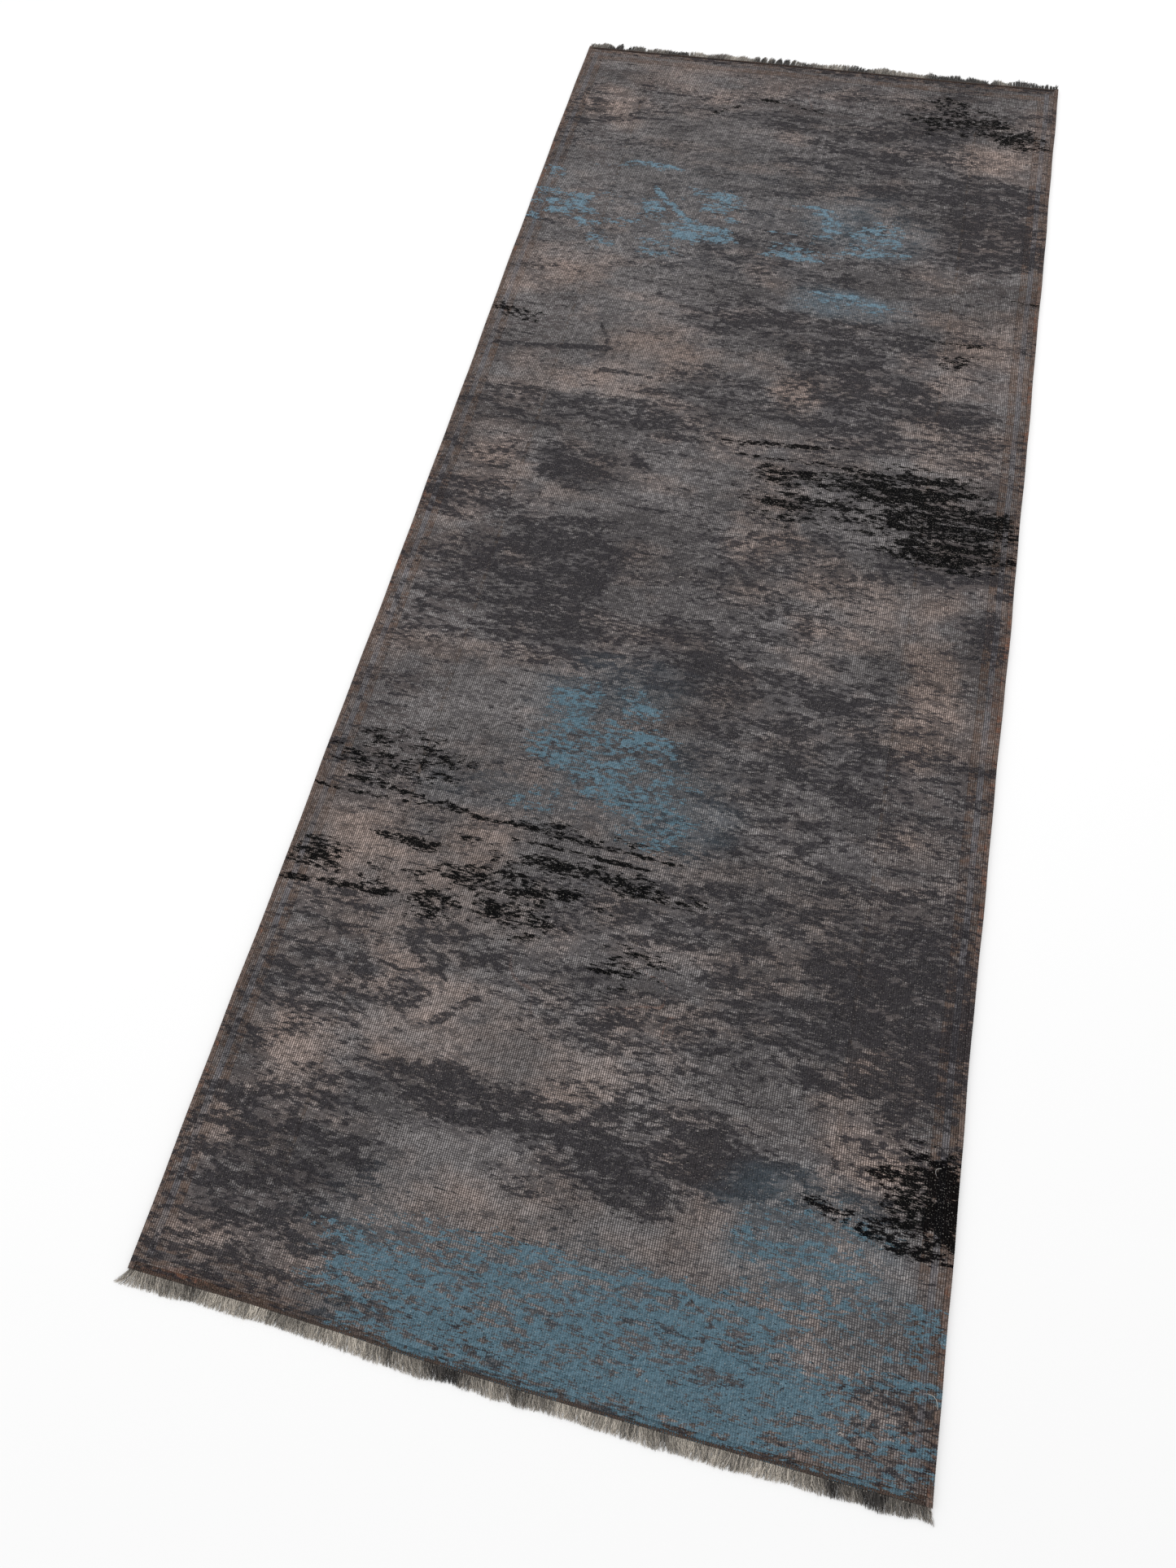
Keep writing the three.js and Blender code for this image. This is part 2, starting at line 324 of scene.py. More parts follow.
ORANGE = (
    (14, 90, 1976, 1990, 0.7), (-4, 14, 120, 560, 0.40), (-4, 12, 900, 1300, 0.45),
    (788, 804, 430, 800, 0.50), (788, 804, 1000, 1460, 0.60), (788, 804, 1760, 1990, 0.45),
    (-4, 12, 1560, 1900, 0.30),
)


# Each dye or wear: its patches, its strokes, and the seed that makes its outline ragged
DRAWN = {
    "slate": (SLATE, SLATE_STROKES, 3), "jet": (JET, JET_STROKES, 5),
    "charcoal": (CHARCOAL, CHARCOAL_STROKES, 9), "warm": (WARM, (), 11), "bare": (BARE, (), 15),
    "wash": (WASH, (), 19), "scroll": (SCROLL, (), 23), "orange": (ORANGE, (), 29),
}
CORNER = 2.6  # roundness of a patch's corners: 2 is an ellipse, and more is squarer


def fade(reach):
    """1 well inside a patch, 0.65 at its edge, and 0 at one and a half times its size."""
    return np.clip(1.9 - 1.25 * reach, 0, 1)


def covered(patches, strokes, seed, across, down):
    """How strongly patches and strokes cover each point: the strength inside, falling off outside."""
    here = partial(cloud, across, down)
    shifted_across = across + 9 * here(90, 26, seed) + 3 * here(24, 9, seed + 7)
    shifted_down = down + 4.5 * here(120, 40, seed + 13) + 1.8 * here(30, 14, seed + 17)
    most = np.zeros(len(across))
    for left, right, far, near, strength in patches:
        u = np.abs(shifted_across - (left + right) / 2) / ((right - left) / 2)
        v = np.abs(shifted_down - (far + near) / 2) / ((near - far) / 2)
        reach = (u**CORNER + v**CORNER) ** (1 / CORNER)
        most = np.maximum(most, strength * fade(reach))
    for x1, y1, x2, y2, thickness, strength in strokes:
        run = np.hypot(x2 - x1, y2 - y1)
        px = across - x1 + 0.3 * (shifted_across - across)
        py = down - y1 + 0.3 * (shifted_down - down)
        along = (px * (x2 - x1) + py * (y2 - y1)) / run
        off = np.abs(px * (y2 - y1) - py * (x2 - x1)) / run
        past = np.maximum(0, np.maximum(-along, along - run))
        reach = np.hypot(off / (thickness / 2), past / (2 * thickness))
        most = np.maximum(most, strength * fade(reach))
    return most


def brush(across, down, seed, long=9.5, high=2.4, rough=0.85):
    """Dry-brush noise: short streaks along the wefts, in loose groups, down to single knots."""
    wavy = down + 2.5 * cloud(across, down, 140, 60, seed + 900)
    fine = cloud(across, wavy, long, high, seed, 2, rough)
    return 0.90 * fine + 0.52 * cloud(across, wavy, 4.5 * long, 3.5 * high, seed + 450, 2)


def wear(across, down):
    """The weave, the over-dye and the wear at plan positions. A dye shows where its level is 0.5 or more."""
    here, streak = partial(cloud, across, down), partial(brush, across, down)
    drawn = {kind: covered(*drawing, across, down) for kind, drawing in DRAWN.items()}
    slate, jet, charcoal, bare = (drawn[kind] for kind in ("slate", "jet", "charcoal", "bare"))
    warm = drawn["warm"]

    # Long scratches and finer cracks along the wefts, where charcoal dye caught all over the rug
    scratch = cloud(across, down + 0.02 * across, 170, 3.4, 61, 2, 0.6)
    scratched = ease(scratch, 1.5, 2.3) * ease(here(260, 90, 67, 2), -0.6, 0.8)
    wandering = down + 2.0 * here(90, 40, 62)
    crack = ease(cloud(across, wandering, 38, 2.3, 63, 2, 0.8), 1.2, 2.0)
    base = 0.12 + 0.07 * here(150, 50, 47) - 0.16 * bare + 0.45 * scratched + 0.30 * crack
    charcoal_level = np.maximum(charcoal * 0.93, base)
    streaks = (0.22 + 0.18 * ease(charcoal, 0.1, 0.5)) * np.clip(charcoal_level * 5, 0, 1)
    charcoal_level = charcoal_level + streaks * streak(71) - 0.30 * ease(jet, 0.2, 0.6)
    jet_level = jet * 0.95 + 0.29 * streak(83, 8.5, 2.2) * np.clip(jet * 5, 0, 1)
    slate_level = slate * 0.90 + 0.28 * streak(97) * np.clip(slate * 5, 0, 1)

    # Thick dye kept more of the pile, which is otherwise brushed off in streaks
    thick = np.maximum(np.maximum(charcoal * 0.9, jet * 0.2), slate * 0.8)
    pile = 0.42 + 0.5 * thick - 0.42 * bare - 0.10 * warm + 0.26 * streak(109, 8.5, 2.6)
    curl = np.abs(here(46, 42, 131, 1))
    tone = np.clip(here(110, 50, 163, 4), -2, 2)
    column = np.round(across / KNOT_WIDE).astype(np.int64)
    row = np.round(down / KNOT_HIGH).astype(np.int64)
    return {
        "across": across, "down": down,
        "knot": lattice(column, row, 191), "thread": lattice(column, 0 * row, 193),
        "pile_left": pile, "charcoal": charcoal_level, "jet": jet_level, "slate": slate_level,
        "wash": drawn["wash"] * (1 + 0.25 * here(60, 30, 173, 3)),
        "warmth": warm + 0.22 * here(80, 40, 149, 4),
        "rust": np.maximum(ease(0.16 - curl, 0, 0.12) * drawn["scroll"], drawn["orange"]), "tone": tone,
        "depth": ease(down + 120 * tone, 300, 1500),
    }


# How far the soft rug lies off its straight plan: (place along the edge, offset), both in millimetres
LEFT_DRAWN_IN = (
    (0, 4.0), (350, 2.5), (700, 4.2), (1050, 5.7), (1300, 5.4), (1560, 4.5), (1940, 1.0), (2000, 0.8),
)
RIGHT_PUSHED_OUT = (
    (0, 0.8), (350, 1.7), (1050, 0.7), (1300, -1.2), (1560, -2.5), (1760, -1.4), (1950, 0.0),
)
NEAR_BOWED_OUT = (
    (0, 1), (130, 0), (240, 1.7), (300, 3.5), (400, 3.9), (500, 3.8), (640, 1.7), (720, 0), (800, -2),
)
FAR_DRAWN_IN = ((0, 3.8), (120, 3.2), (350, 0.3), (650, -0.2), (800, -3.5))
END_REACH = 380  # how far from an end its offset is felt


def ripple(down, long, long_start, short, short_start):
    """The slight waviness of a selvedge: a long and a short wave, in millimetres."""
    return 0.35 * np.sin(down / long + long_start) + 0.25 * np.sin(down / short + short_start)


def lie(points):
    """Points moved from the straight plan to where the soft rug lies."""
    across, down = to_plan(points)
    left = np.interp(down, *zip(*LEFT_DRAWN_IN)) + ripple(down, 61, 1.3, 23, 0)
    right = np.interp(down, *zip(*RIGHT_PUSHED_OUT)) + ripple(down, 53, 0, 19, 2)
    near_share = np.clip((down - LENGTH + END_REACH) / END_REACH, 0, 1) ** 2
    far_share = np.clip((END_REACH - down) / END_REACH, 0, 1) ** 2
    moved = points.copy()
    moved[:, 0] += MM * ((1 - across / WIDTH) * left + across / WIDTH * right)
    moved[:, 1] -= MM * near_share * np.interp(across, *zip(*NEAR_BOWED_OUT))
    moved[:, 1] -= MM * far_share * np.interp(across, *zip(*FAR_DRAWN_IN))
    return moved


# ---- Mesh helpers ----

def mode(name):
    bpy.ops.object.mode_set(mode=name)


def alone(piece):
    """Makes one object the only selected and the active one."""
    bpy.ops.object.select_all(action="DESELECT")
    piece.select_set(True)
    bpy.context.view_layer.objects.active = piece


def points_of(piece):
    flat = np.zeros(len(piece.data.vertices) * 3)
    piece.data.vertices.foreach_get("co", flat)
    return flat.reshape(-1, 3)


def move_points(piece, points):
    piece.data.vertices.foreach_set("co", points.ravel())
    piece.data.update()


def attach(piece, layers):
    """Stores numbers for each vertex, which a material can read by name."""
    for name, values in layers.items():
        layer = piece.data.attributes.new(name, "FLOAT", "POINT")
        layer.data.foreach_set("value", np.asarray(values, np.float32))


def weather(piece, points):
    """Stores the wear at the piece's points, and lays them as the soft rug lies."""
    attach(piece, wear(*to_plan(points)))
    move_points(piece, lie(points))


def face_outwards(piece):
    """Turns all faces outwards."""
    alone(piece)
    mode("EDIT")
    bpy.ops.mesh.select_all(action="SELECT")
    bpy.ops.mesh.normals_make_consistent(inside=False)
    mode("OBJECT")


def finish_piece(piece, name, material, slot, nodes, angle=math.radians(60)):
    """Names a piece, gives it its material and hangs it in the frame."""
    piece.name = name
    piece.data.name = name
    piece.data.materials.clear()
    piece.data.materials.append(material)
    alone(piece)
    bpy.ops.object.shade_smooth_by_angle(angle=angle)
    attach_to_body(piece, BODY)
    if nodes:
        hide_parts(*nodes)


def from_faces(name, points, faces):
    """A new object from corner points and faces, in metres."""
    mesh = bpy.data.meshes.new(name)
    mesh.from_pydata(points.tolist(), [], faces)
    mesh.update()
    piece = bpy.data.objects.new(name, mesh)
    bpy.context.scene.collection.objects.link(piece)
    return piece


def flat_grid(low, high, columns, rows, height):
    """A flat grid over a box, at that height."""
    bpy.ops.object.select_all(action="DESELECT")
    centre = ((low.x + high.x) / 2, (low.y + high.y) / 2, height)
    bpy.ops.mesh.primitive_grid_add(x_subdivisions=columns, y_subdivisions=rows, size=1, location=centre)
    piece = bpy.context.active_object
    piece.scale = (high.x - low.x, high.y - low.y, 1)
    bpy.ops.object.transform_apply(location=True, rotation=True, scale=True)
    return piece


def slab_grid(low, high, face_across, face_along):
    """A closed slab over a box, with a fine grid on top and one face below. Says which points are on top."""
    columns, rows = (max(2, round(side / face)) for side, face in zip(high - low, (face_across, face_along)))
    piece = flat_grid(low, high, columns, rows, high.z)
    mode("EDIT")
    bpy.ops.mesh.select_mode(type="EDGE")
    bpy.ops.mesh.select_all(action="DESELECT")
    shell = bmesh.from_edit_mesh(piece.data)
    for edge in shell.edges:
        edge.select = edge.is_boundary
    bmesh.update_edit_mesh(piece.data)
    drop = (0, 0, low.z - high.z)
    bpy.ops.mesh.extrude_edges_move(TRANSFORM_OT_translate={"value": drop})
    bpy.ops.mesh.edge_face_add()
    mode("OBJECT")
    face_outwards(piece)
    points = points_of(piece)
    return piece, points, points[:, 2] > (low.z + high.z) / 2


def ring_faces(sides, rings, joins):
    """Four-cornered faces from each ring of points to the next, for that many joins."""
    faces = []
    for ring in range(joins):
        here, after = ring * sides, (ring + 1) % rings * sides
        for i in range(sides):
            turned = (i + 1) % sides
            faces.append([here + i, here + turned, after + turned, after + i])
    return faces


def strands(paths, radii, sides):
    """Tapering tubes along many short paths, with the share of the way along each at every corner."""
    count, steps, _ = paths.shape
    tangent = np.gradient(paths, axis=1)
    tangent /= np.linalg.norm(tangent, axis=2, keepdims=True) + 1e-12
    side = np.cross(tangent, np.array([0, 0, 1.0]))
    side /= np.linalg.norm(side, axis=2, keepdims=True) + 1e-12
    lift = np.cross(side, tangent)
    angle = ((np.arange(sides) + 0.5) * 2 * math.pi / sides)[None, None, :, None]
    ring = side[:, :, None] * np.cos(angle) + lift[:, :, None] * np.sin(angle)
    points = (paths[:, :, None] + ring * radii[:, :, None, None]).reshape(-1, 3)
    one = ring_faces(sides, steps, steps - 1)
    one.append(list(range(sides))[::-1])
    one.append([(steps - 1) * sides + i for i in range(sides)])
    along = np.tile(np.repeat(np.linspace(0, 1, steps), sides), count)
    return points, repeated(one, steps * sides, count), along


def repeated(faces, corners, count):
    """The faces of one small shape with so many corners, for that many of it in a row."""
    return [[v + first * corners for v in face] for first in range(count) for face in faces]


def places_along(low, high, pitch):
    """Evenly spaced places along an end, with their y and z still to be set."""
    count = int((high.x - low.x) / pitch)
    place = np.empty((count, 3))
    place[:, 0] = low.x + (np.arange(count) + 0.5) * (high.x - low.x) / count
    return place


def beads(place, half, lean, sides=7, rings=5):
    """One rounded stitch or knot at each place, from a single ball, and each leaning its own way."""
    bpy.ops.object.select_all(action="DESELECT")
    bpy.ops.mesh.primitive_uv_sphere_add(segments=sides, ring_count=rings, radius=1)
    ball = bpy.context.active_object
    shape = points_of(ball)
    one = [list(face.vertices) for face in ball.data.polygons]
    bpy.data.objects.remove(ball)
    body = shape[None] * half[:, None]
    body[:, :, 0] += lean[:, None] * body[:, :, 1]
    body += place[:, None]
    return body.reshape(-1, 3), repeated(one, len(shape), len(place))


def joined(batches):
    """Points and faces of several shapes as one."""
    points, faces = [], []
    for more_points, more_faces in batches:
        first = sum(len(p) for p in points)
        faces += [[v + first for v in face] for face in more_faces]
        points.append(more_points)
    return np.concatenate(points), faces


# ---- Materials ----

def adds_node(operation, swapped=False):
    """An operator of Value, which adds a maths node."""
    def apply(self, other):
        return self.finish.maths(operation, *((other, self) if swapped else (self, other)))
    return apply


class Value:
    """A number socket of a material, so that shader maths reads as a Python expression."""

    def __init__(self, finish, socket):
        self.finish, self.socket = finish, socket

    __add__, __radd__ = adds_node("ADD"), adds_node("ADD", swapped=True)
    __sub__, __rsub__ = adds_node("SUBTRACT"), adds_node("SUBTRACT", swapped=True)
    __mul__, __rmul__ = adds_node("MULTIPLY"), adds_node("MULTIPLY", swapped=True)
    __truediv__ = adds_node("DIVIDE")


NOISE_SPREAD = 4.0
SPECULAR = 0.03  # wool hardly shines
RAGGED = 0.75  # how far the tufts break up the edge of a dye or of worn pile
DYE_EDGE, JET_EDGE, PILE_EDGE = (0.45, 0.55), (0.46, 0.54), (0.40, 0.60)  # levels where they set in
FLAT_WEAVE_RELIEF, STRAND_RELIEF = 0.2 * MM, 0.15 * MM
STITCH_RELIEF, THREAD_RELIEF = 0.12 * MM, 0.05 * MM


class Finish:
    """One material, built up node by node."""

    def __init__(self, name, roughness=0.92, sheen=0.0):
        self.material = bpy.data.materials.new(name)
        self.material.use_nodes = True
        self.tree = self.material.node_tree
        self.shader = self.tree.nodes["Principled BSDF"]
        constants = {
            "Roughness": roughness, "Specular IOR Level": SPECULAR,
            "Sheen Weight": sheen, "Sheen Roughness": 0.6,
        }
        for name, value in constants.items():
            self.shader.inputs[name].default_value = value

    def node(self, kind, settings=None, inputs=None):
        """Adds a node: its type, its settings, then the values or links of its sockets."""
        made = self.tree.nodes.new(kind)
        for key, value in (settings or {}).items():
            setattr(made, key, value)
        for key, value in (inputs or {}).items():
            if isinstance(value, Value):
                value = value.socket
            if isinstance(value, bpy.types.NodeSocket):
                self.tree.links.new(value, made.inputs[key])
            elif value is not None:
                made.inputs[key].default_value = value
        return made

    def maths(self, operation, first, second=None):
        made = self.node("ShaderNodeMath", {"operation": operation}, {0: first, 1: second})
        return Value(self, made.outputs[0])

    def largest(self, first, second):
        return self.maths("MAXIMUM", first, second)

    def clamp(self, value):
        """The value, kept between 0 and 1."""
        made = self.node("ShaderNodeMath", {"operation": "ADD", "use_clamp": True}, {0: value, 1: 0.0})
        return Value(self, made.outputs[0])

    def step(self, value, low, high):
        """0 below low, 1 above high, and smooth between."""
        made = self.node(
            "ShaderNodeMapRange", {"interpolation_type": "SMOOTHSTEP"},
            {"Value": value, "From Min": low, "From Max": high},
        )
        return Value(self, made.outputs["Result"])

    def mix(self, share, first, second):
        """A colour between two colours."""
        first, second = (c if isinstance(c, bpy.types.NodeSocket) else (*c, 1) for c in (first, second))
        made = self.node("ShaderNodeMix", {"data_type": "RGBA"}, {0: share, 6: first, 7: second})
        return made.outputs[2]

    def brighten(self, tint, factor):
        """A colour times a number."""
        made = self.node("ShaderNodeVectorMath", {"operation": "SCALE"}, {0: tint, "Scale": factor})
        return made.outputs[0]

    def layer(self, name):
        """The number that the piece's mesh carries under that name."""
        return Value(self, self.node("ShaderNodeAttribute", {"attribute_name": name}).outputs["Fac"])

    def place(self):
        """Position on the piece in millimetres, as three numbers."""
        where = self.node("ShaderNodeTexCoord").outputs["Object"]
        split = self.node("ShaderNodeSeparateXYZ", inputs={0: where})
        return tuple(Value(self, split.outputs[i]) * 1000 for i in range(3))

    def noise(self, x, y, z=0.0, detail=2.0, roughness=0.6):
        """Smooth noise with its middle at 0 and a spread of about 0.3, in cells of size 1."""
        where = self.node("ShaderNodeCombineXYZ", inputs={0: x, 1: y, 2: z}).outputs[0]
        made = self.node(
            "ShaderNodeTexNoise", {"noise_dimensions": "3D"},
            {"Vector": where, "Scale": 1.0, "Detail": detail, "Roughness": roughness},
        )
        return (Value(self, made.outputs[0]) - 0.5) * NOISE_SPREAD

    def wave(self, value):
        """A cosine wave from 0 to 1 that repeats with each whole number."""
        return 0.5 + 0.5 * self.maths("COSINE", value * (2 * math.pi))

    def done(self, tint, roughness, relief, strength, depth):
        """Links the colour, the roughness and the relief to the shader, and hands over the material."""
        inputs = {"Height": relief, "Strength": strength, "Distance": depth}
        bump = self.node("ShaderNodeBump", inputs=inputs)
        varied = {"Base Color": tint, "Roughness": roughness.socket, "Normal": bump.outputs[0]}
        for name, socket in varied.items():
            self.tree.links.new(socket, self.shader.inputs[name])
        return self.material


class Yarns:
    """What woven finishes read at a place: the lattice of yarns, each knot's tone and loose fibre, and
    painted shade in the gaps between yarns.
    """

    def __init__(self, finish, weave):
        self.across, self.down = finish.layer("across"), finish.layer("down")
        sway = finish.noise(self.down / 45, self.across / 30) * 0.35
        self.warp = finish.step(finish.wave((self.across + sway) * (MM / weave.warp_pitch)), 0.15, 0.85)
        self.weft = finish.wave((self.down + sway * 1.4) * (MM / weave.weft_pitch))
        self.knot = finish.layer("knot")
        self.thread = finish.layer("thread")
        self.cell = self.warp * (0.35 + 0.65 * self.weft)
        self.fibre = self.fleck(finish, 0.8, 1.0, 3.0)
        self.tuft = self.fleck(finish, 8.5, 1.7, 9.0)
        self.lock = self.fleck(finish, 7.5, 1.7, 29.0)
        specks = finish.noise(self.across / 1.5, self.down / 1.3, 47.0, detail=1)
        self.lint = finish.step(specks, 0.62, 0.85)
        # Brightness of the yarns: each knot's tone, loose fibre and tufts, with painted shade in the gaps
        # between yarns from the lattice
        self.grain = 0.50 + 0.40 * self.cell + 0.50 * self.knot + 0.62 * self.fibre + 0.24 * self.lock

    def fleck(self, finish, wide, high, slice_at):
        """Rough noise with flecks that many millimetres wide and high."""
        return finish.noise(self.across / wide, self.down / high, slice_at, detail=3, roughness=0.75)


def over_dye(finish, dyes, surface, yarns):
    """Charcoal, a thin wash of blue, slate blue with painted shade round its patches, and jet on any
    surface. Returns it, and how dyed it is.
    """
    knotted = (yarns.knot - 0.5) * 0.12 + (yarns.cell - 0.35) * 0.14
    ragged, ragged_lock = knotted + yarns.tuft * RAGGED, knotted + yarns.lock * RAGGED

    level = finish.layer("charcoal") + ragged
    charcoal = finish.step(level, *DYE_EDGE)
    stain = finish.step(level, -0.30, 0.80)
    dark = finish.brighten(dyes.charcoal, yarns.grain)
    surface = finish.mix(finish.largest(charcoal * 0.90, stain * 0.30), surface, dark)

    blue = finish.mix(finish.layer("depth"), dyes.slate, dyes.deep_slate)
    blue = finish.brighten(blue, yarns.grain)
    surface = finish.mix(finish.clamp(finish.layer("wash")) * 0.50, surface, blue)
    level = finish.layer("slate") + ragged_lock
    slate = finish.step(level, *DYE_EDGE)
    # Painted shade: a dark band just outside each blue patch, for the shadow beside its raised dyed pile
    rim_shade = finish.step(level, 0.34, 0.45) - slate
    surface = finish.mix(finish.clamp(rim_shade) * 0.40, surface, dyes.rim_shade)
    surface = finish.mix(slate * 0.90, surface, blue)

    jet = finish.step(finish.layer("jet") + ragged_lock + yarns.lock * 0.15, *JET_EDGE)
    surface = finish.mix(jet * 0.98, surface, finish.brighten(dyes.jet, yarns.grain))
    surface = finish.mix(yarns.lint * 0.30, surface, dyes.cotton)
    return surface, finish.largest(finish.largest(slate, jet), charcoal)


def pile_finish(name, weave, dyes, pile_dye, ribbed):
    """Sheared and worn pile: bared ground, short pile, and the over-dye's patches on top."""
    finish = Finish(name)
    yarns = Yarns(finish, weave)
    warmth = finish.clamp(finish.layer("warmth"))

    # Bared ground: pale warps over dark gaps, crossed by the rows of wefts
    bared = finish.mix(warmth * 0.85, dyes.warp, dyes.warm_warp)
    bared = finish.brighten(bared, 0.64 + 0.70 * yarns.knot + 0.30 * yarns.thread + 0.26 * yarns.tuft)
    gap = finish.mix(warmth * 0.85, dyes.gap, dyes.warm_gap)
    dash = finish.step(0.80 - yarns.weft - 0.9 * yarns.knot, 0.0, 0.35)
    height = yarns.warp * (0.75 + 0.25 * yarns.weft) * (1 - 0.80 * dash)
    ground = finish.mix(height * 0.78 + 0.15, gap, bared)

    # Short pile of this band's own colour
    pile = finish.mix(warmth * 0.5, pile_dye, dyes.warm_pile)
    grain = yarns.grain + 0.20 * yarns.tuft
    # Ribbed bands: the pile is painted darker between the warps, as shade in the grooves between the ribs
    if ribbed:
        grain = grain * (0.70 + 0.42 * yarns.warp)
    pile = finish.brighten(pile, grain)
    left = finish.layer("pile_left") + (yarns.knot - 0.5) * 0.14 + yarns.tuft * RAGGED
    left = finish.step(left, *PILE_EDGE)
    if ribbed:
        left = 0.45 + 0.55 * left
    surface = finish.mix(left, ground, pile)
    surface = finish.brighten(surface, 1 + 0.10 * finish.layer("tone"))
    rust = finish.step(finish.layer("rust"), 0.35, 1.0)
    surface = finish.mix(rust * 0.40, surface, dyes.rust)

    surface, dyed = over_dye(finish, dyes, surface, yarns)
    full = finish.largest(dyed, left)
    relief = (1 - full) * height + full * (0.5 + 0.6 * yarns.cell) + 0.5 * yarns.fibre
    return finish.done(surface, 0.97 - 0.12 * dyed, relief, 0.9, weave.yarn_relief)


def flat_weave_finish(name, weave, dyes, yarn_dye, second_dye):
    """Wool yarn with a dye that took unevenly, under the rug's over-dye."""
    finish = Finish(name)
    yarns = Yarns(finish, weave)
    uneven = finish.noise(yarns.across / 9, yarns.down / 9, 2.0, detail=3)
    surface = finish.mix(finish.clamp(0.4 + uneven), yarn_dye, second_dye)
    rust = finish.step(finish.layer("rust") + 0.5 * uneven + 0.3 * (yarns.knot - 0.5), 0.30, 0.75)
    surface = finish.mix(rust * 0.70, surface, dyes.rust)
    # The yarns' brightness, with painted shade between the warps
    surface = finish.brighten(surface, yarns.grain * (0.80 + 0.30 * yarns.warp))
    surface, dyed = over_dye(finish, dyes, surface, yarns)
    relief = 0.5 * yarns.weft + 0.5 * yarns.fibre
    return finish.done(surface, 0.96 - 0.10 * dyed, relief, 0.7, FLAT_WEAVE_RELIEF)


def yarn_finish(name, base, shade, cell, depth):
    """Plied yarn: fine fibres and an uneven dye, on any small piece."""
    finish = Finish(name, sheen=0.05)
    x, y, z = finish.place()
    fibres = finish.noise(x / cell, y / cell, z / cell, detail=3, roughness=0.7)
    uneven = finish.noise(x / 38, y / 38, 2.0, detail=2)
    mixed = finish.mix(finish.clamp(0.5 + 0.8 * uneven), base, shade)
    mixed = finish.brighten(mixed, 0.95 + 0.9 * fibres)
    return finish.done(mixed, 0.92 + 0.10 * fibres, fibres, 0.6, depth)


def strand_finish(name, dyes):
    """Cut warp ends: each strand with its own tone, darker at the root and paler at the tip."""
    finish = Finish(name, sheen=0.08)
    x, y, z = finish.place()
    tone, along = finish.layer("tone"), finish.layer("along")
    dyed = finish.clamp(finish.layer("dyed") + 0.30 * (1 - along) - 0.25 * tone)
    mixed = finish.mix(dyed, dyes.fringe, dyes.fringe_shade)
    fibres = finish.noise(x / 0.5, y / 0.9, z / 0.5, detail=2, roughness=0.7)
    mixed = finish.brighten(mixed, 0.34 + 0.92 * tone + 0.6 * fibres)
    return finish.done(mixed, 0.93 + 0.08 * fibres, fibres, 0.5, STRAND_RELIEF)


def underside_finish(name, weave, dyes):
    """The foundation: ribs of warps on its back, with the flat backs of the knots between wefts."""
    finish = Finish(name)
    yarns = Yarns(finish, weave)
    warmth = finish.clamp(finish.layer("warmth") + 0.25)
    back = finish.mix(warmth, dyes.underside, dyes.warm_warp)
    for kind, share, tint in (("charcoal", 0.55, dyes.charcoal), ("slate", 0.45, dyes.slate)):
        seep = finish.step(finish.layer(kind), 0.2, 1.0)
        back = finish.mix(seep * share, back, tint)
    back = finish.brighten(back, 0.62 + 0.50 * yarns.knot + 0.20 * yarns.thread + 0.2 * yarns.fibre)
    height = yarns.weft * (0.5 + 0.5 * yarns.warp)
    surface = finish.mix(height * 0.80 + 0.15, dyes.gap, back)
    relief = height + 0.2 * yarns.fibre
    return finish.done(surface, 0.90 + 0.08 * yarns.knot, relief, 0.9, weave.yarn_relief)


# ---- Operators ----

class RUG_OT_foundation(bpy.types.Operator):
    """Weave the foundation that everything else is tied to"""

    bl_idname = "rug.foundation"
    bl_label = "Foundation"

    def execute(self, context):
        weave, dyes = context.scene.rug_weave, context.scene.rug_dyes
        low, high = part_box("foundation_cloth")
        size = high - low
        columns, rows = round(size.x / (2 * weave.warp_pitch)), round(size.y / (4 * weave.weft_pitch))
        cloth = flat_grid(low, high, columns, rows, low.z)
        thick = cloth.modifiers.new("thickness", "SOLIDIFY")
        thick.thickness, thick.offset = size.z, 1
        bpy.ops.object.modifier_apply(modifier=thick.name)
        weather(cloth, points_of(cloth))
        material = underside_finish("foundation_weave", weave, dyes)
        finish_piece(cloth, "foundation", material, "foundation_wool", ["foundation_cloth"])
        return {"FINISHED"}


SEEDS = {"stitches": 401, "left": 77, "right": 78, "near": 211, "far": 223, "threads": 503}
NARROW_BAND = 12 * MM  # bands narrower than this are ribbed
PILE_OVERLAP = 0.2 * MM
DYED_LEVELS, WORN_LEVELS = (0.38, 0.60), (0.35, 0.65)  # where dye or wear begins and is full


